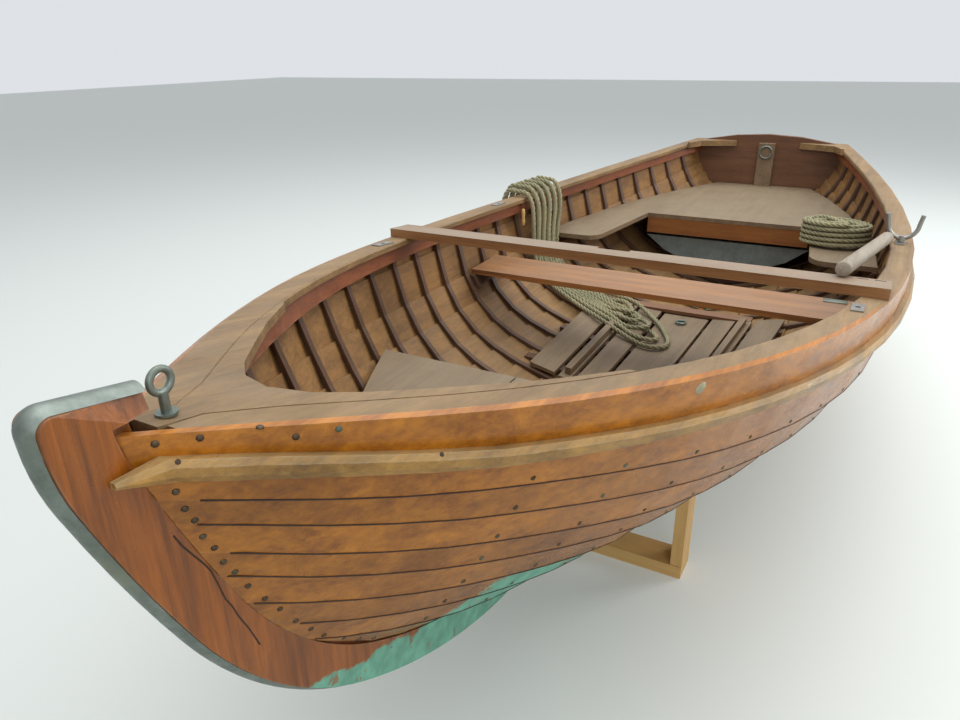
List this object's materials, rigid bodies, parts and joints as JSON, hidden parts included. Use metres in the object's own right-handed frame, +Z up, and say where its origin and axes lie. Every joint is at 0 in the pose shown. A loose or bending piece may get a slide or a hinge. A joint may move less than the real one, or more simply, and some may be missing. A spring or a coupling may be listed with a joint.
{
  "type": "rowing boat",
  "caption": "Clinker-built wooden rowing boat with a transom stern, cross beam, thwart, bow and stern seats and a turning rowlock, standing on pine cradles.",
  "frame": {"origin": "on the floor under the middle of the boat's length and breadth", "axes": "+X to the bow, +Y to port, +Z up"},
  "size_m": [4.4463, 1.5914, 1.1269],
  "materials": {
    "planking": "old glossy varnish, orange brown, worn towards the keel",
    "backbone": "old varnish, darker brown",
    "gunwale": "bare weathered grey brown wood",
    "rub": "worn varnish, yellow brown",
    "frames": "dark varnished ribs",
    "inwale": "reddish brown varnish",
    "transom": "reddish brown varnish, dull",
    "beam": "grey brown top, orange brown front",
    "thwart": "reddish brown, worn",
    "seats": "dusty grey brown boards",
    "fascia": "orange brown varnish",
    "floor": "worn grey brown boards",
    "pine": "new clear pine",
    "galvanised": "dull galvanised, stained",
    "bronze": "dull weathered metal"
  },
  "bodies": {
    "boat": {"board_bearers": "frames", "bottom_boards": "floor", "bottom_rails": "floor", "bow_seat": "seats", "bow_seat_bearers": "frames", "breasthook": "gunwale", "cradle_bases": "pine", "cradle_posts": "pine", "cross_beam": "beam", "cross_floorboard": "thwart", "deadwood": "backbone", "eye_bolt": "galvanised", "gunwale_caps": "gunwale", "inwales": "inwale", "keel": "backbone", "keel_blocks": "pine", "lifting_ring": "galvanised", "quarter_knees": "gunwale", "ribs": "frames", "rowlock_sockets": "bronze", "rubbing_strakes": "rub", "seat_fascia": "fascia", "seat_risers": "frames", "stem": "backbone", "stem_band": "galvanised", "stern_seat": "seats", "stern_tank": "galvanised", "strake_1": "planking", "strake_2": "planking", "strake_3": "planking", "strake_4": "planking", "strake_5": "planking", "strake_6": "planking", "strake_7": "planking", "strake_8": "planking", "strake_9": "planking", "tank_bearers": "frames", "thwart": "thwart", "transom": "transom", "transom_post": "seats", "transom_ring": "galvanised"},
    "crutch": {"rowlock": "bronze"}
  },
  "joints": [
    {"name": "rowlock_turn", "type": "hinge", "parent": "boat", "child": "crutch", "pos_m": [-0.15, 0.73635, 0.82964], "axis": [0, 0, 1], "continuous": true}
  ]
}
